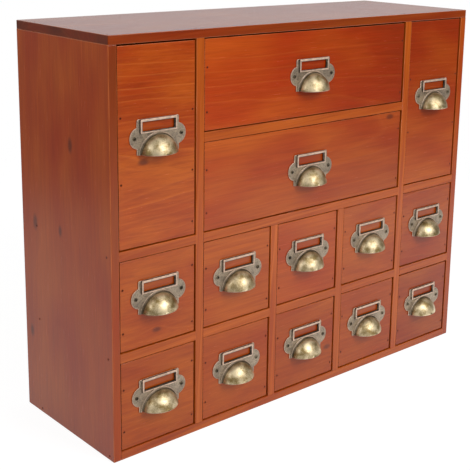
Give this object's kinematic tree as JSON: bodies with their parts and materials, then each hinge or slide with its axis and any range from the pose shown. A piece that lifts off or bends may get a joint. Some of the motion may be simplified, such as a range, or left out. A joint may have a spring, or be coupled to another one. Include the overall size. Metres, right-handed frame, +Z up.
{
  "type": "multi-drawer cabinet",
  "caption": "Wooden case of inset sliding drawers, small, tall and wide, each with a brass cup pull that carries a label frame.",
  "frame": {"origin": "middle of the case's base, on the surface it stands on", "axes": "+X along the front to the right, +Y from the front to the back, +Z up"},
  "size_m": [0.528, 0.1889, 0.43],
  "materials": {
    "stained_pine": "red-brown stain under satin varnish",
    "raw_pine": "planed, unfinished",
    "plywood": "sanded plywood",
    "antique_brass": "antique patina, rubbed bright on the cup",
    "steel": "dull dark heads"
  },
  "bodies": {
    "case": {"top_board": "stained_pine", "bottom_board": "stained_pine", "left_side": "stained_pine", "right_side": "stained_pine", "back_panel": "plywood", "left_divider": "stained_pine", "right_divider": "stained_pine", "inner_left_divider": "stained_pine", "inner_right_divider": "stained_pine", "wide_shelf": "stained_pine", "middle_shelf": "stained_pine", "lower_shelf": "stained_pine", "case_nails": "steel", "back_pins": "steel"},
    "tall_left_drawer": {"tall_left_front": "stained_pine", "tall_left_box": "raw_pine", "tall_left_pull": "antique_brass"},
    "tall_right_drawer": {"tall_right_front": "stained_pine", "tall_right_box": "raw_pine", "tall_right_pull": "antique_brass"},
    "wide_upper_drawer": {"wide_upper_front": "stained_pine", "wide_upper_box": "raw_pine", "wide_upper_pull": "antique_brass"},
    "wide_lower_drawer": {"wide_lower_front": "stained_pine", "wide_lower_box": "raw_pine", "wide_lower_pull": "antique_brass"},
    "upper_1_drawer": {"upper_1_front": "stained_pine", "upper_1_box": "raw_pine", "upper_1_pull": "antique_brass"},
    "upper_2_drawer": {"upper_2_front": "stained_pine", "upper_2_box": "raw_pine", "upper_2_pull": "antique_brass"},
    "upper_3_drawer": {"upper_3_front": "stained_pine", "upper_3_box": "raw_pine", "upper_3_pull": "antique_brass"},
    "upper_4_drawer": {"upper_4_front": "stained_pine", "upper_4_box": "raw_pine", "upper_4_pull": "antique_brass"},
    "upper_5_drawer": {"upper_5_front": "stained_pine", "upper_5_box": "raw_pine", "upper_5_pull": "antique_brass"},
    "lower_1_drawer": {"lower_1_front": "stained_pine", "lower_1_box": "raw_pine", "lower_1_pull": "antique_brass"},
    "lower_2_drawer": {"lower_2_front": "stained_pine", "lower_2_box": "raw_pine", "lower_2_pull": "antique_brass"},
    "lower_3_drawer": {"lower_3_front": "stained_pine", "lower_3_box": "raw_pine", "lower_3_pull": "antique_brass"},
    "lower_4_drawer": {"lower_4_front": "stained_pine", "lower_4_box": "raw_pine", "lower_4_pull": "antique_brass"},
    "lower_5_drawer": {"lower_5_front": "stained_pine", "lower_5_box": "raw_pine", "lower_5_pull": "antique_brass"}
  },
  "joints": [
    {"name": "tall_left_slide", "type": "slide", "parent": "case", "child": "tall_left_drawer", "axis": [0, -1, 0], "range_m": [0, 0.13]},
    {"name": "tall_right_slide", "type": "slide", "parent": "case", "child": "tall_right_drawer", "axis": [0, -1, 0], "range_m": [0, 0.13]},
    {"name": "wide_upper_slide", "type": "slide", "parent": "case", "child": "wide_upper_drawer", "axis": [0, -1, 0], "range_m": [0, 0.13]},
    {"name": "wide_lower_slide", "type": "slide", "parent": "case", "child": "wide_lower_drawer", "axis": [0, -1, 0], "range_m": [0, 0.13]},
    {"name": "upper_1_slide", "type": "slide", "parent": "case", "child": "upper_1_drawer", "axis": [0, -1, 0], "range_m": [0, 0.13]},
    {"name": "upper_2_slide", "type": "slide", "parent": "case", "child": "upper_2_drawer", "axis": [0, -1, 0], "range_m": [0, 0.13]},
    {"name": "upper_3_slide", "type": "slide", "parent": "case", "child": "upper_3_drawer", "axis": [0, -1, 0], "range_m": [0, 0.13]},
    {"name": "upper_4_slide", "type": "slide", "parent": "case", "child": "upper_4_drawer", "axis": [0, -1, 0], "range_m": [0, 0.13]},
    {"name": "upper_5_slide", "type": "slide", "parent": "case", "child": "upper_5_drawer", "axis": [0, -1, 0], "range_m": [0, 0.13]},
    {"name": "lower_1_slide", "type": "slide", "parent": "case", "child": "lower_1_drawer", "axis": [0, -1, 0], "range_m": [0, 0.13]},
    {"name": "lower_2_slide", "type": "slide", "parent": "case", "child": "lower_2_drawer", "axis": [0, -1, 0], "range_m": [0, 0.13]},
    {"name": "lower_3_slide", "type": "slide", "parent": "case", "child": "lower_3_drawer", "axis": [0, -1, 0], "range_m": [0, 0.13]},
    {"name": "lower_4_slide", "type": "slide", "parent": "case", "child": "lower_4_drawer", "axis": [0, -1, 0], "range_m": [0, 0.13]},
    {"name": "lower_5_slide", "type": "slide", "parent": "case", "child": "lower_5_drawer", "axis": [0, -1, 0], "range_m": [0, 0.13]}
  ]
}
